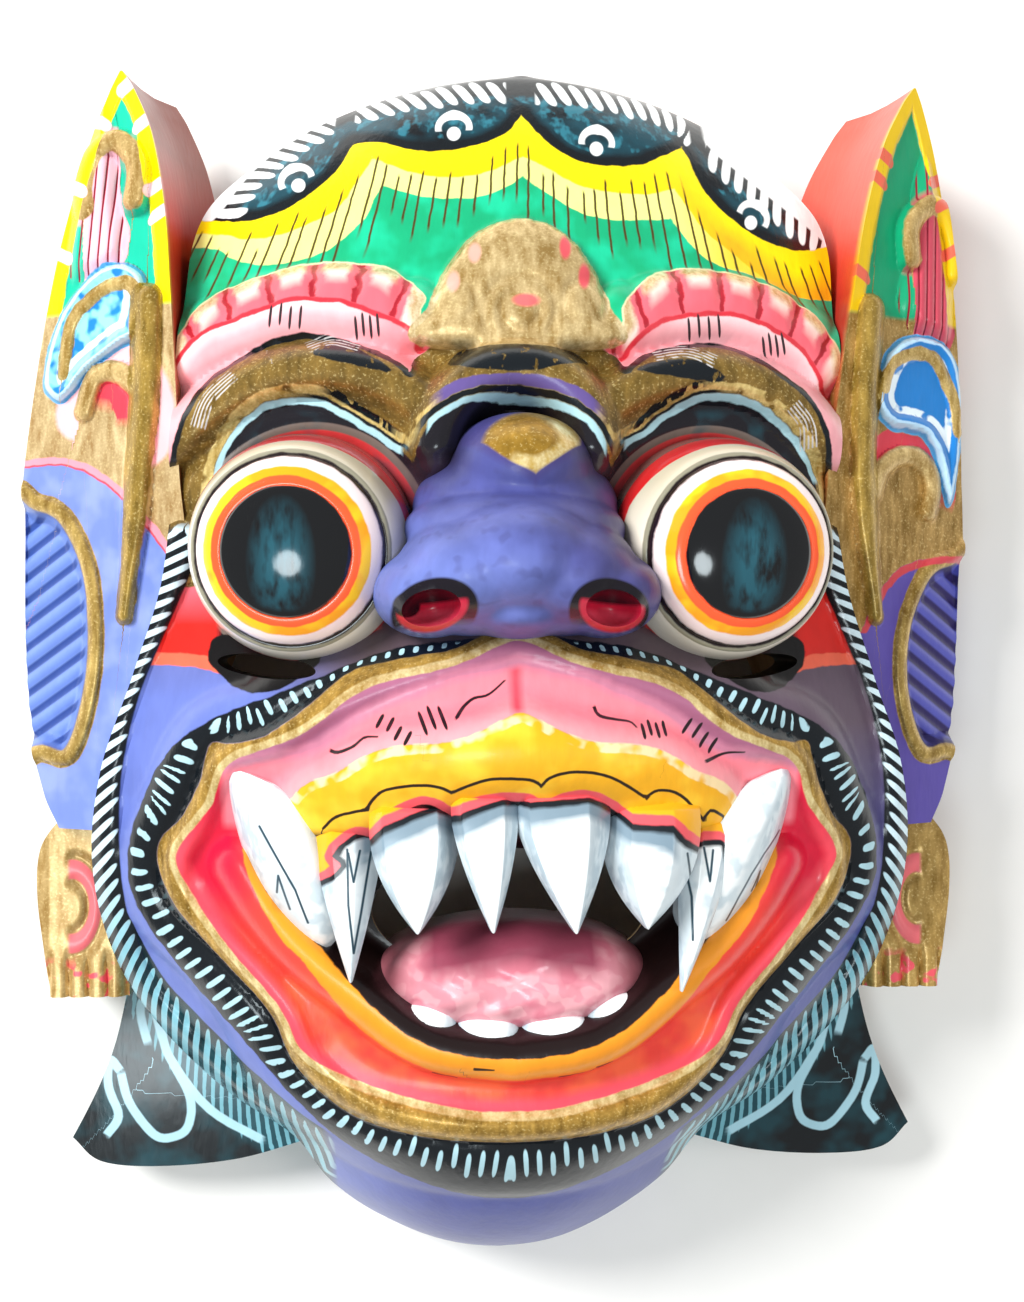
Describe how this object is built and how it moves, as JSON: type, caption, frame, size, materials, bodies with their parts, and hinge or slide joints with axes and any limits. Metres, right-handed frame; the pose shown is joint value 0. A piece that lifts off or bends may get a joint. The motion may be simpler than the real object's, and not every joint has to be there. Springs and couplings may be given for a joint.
{
  "type": "barong mask",
  "caption": "Carved and painted wooden mask of a mythical beast with bulging eyes, fangs, tusks, tall ears, a curled beard edge and a hollow back.",
  "frame": {"origin": "centre of the bounding box in X and Y, on the plane of the back rim", "axes": "+X to the viewer's right, +Y up the face towards the crown, +Z out of the face"},
  "size_m": [0.206, 0.2595, 0.0993],
  "materials": {
    "painted_wood": "hand-painted enamel and gold paint over carved wood, glossy on the eyes, satin elsewhere, bare wood at the back"
  },
  "bodies": {
    "root": {"mask": "painted_wood"}
  },
  "joints": []
}
